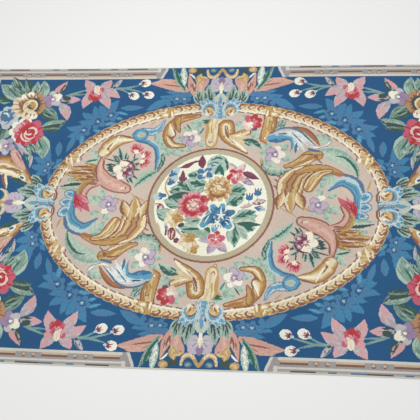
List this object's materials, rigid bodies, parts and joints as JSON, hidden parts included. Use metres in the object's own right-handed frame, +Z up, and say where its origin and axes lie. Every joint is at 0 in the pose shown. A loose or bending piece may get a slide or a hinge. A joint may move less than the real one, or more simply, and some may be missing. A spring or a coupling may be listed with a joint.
{
  "type": "needlepoint rug",
  "caption": "Flat wool needlepoint rug with an overcast edge, lying on the floor; floral medallion design.",
  "frame": {"origin": "on the floor under the middle of the rug", "axes": "+X along the rug's length, +Y across it towards the far long edge, +Z up out of the stitched face"},
  "size_m": [2.48, 1.58, 0.0045],
  "materials": {
    "wool_needlepoint": "matte wool tent stitch"
  },
  "bodies": {
    "root": {"rug": "wool_needlepoint"}
  },
  "joints": []
}
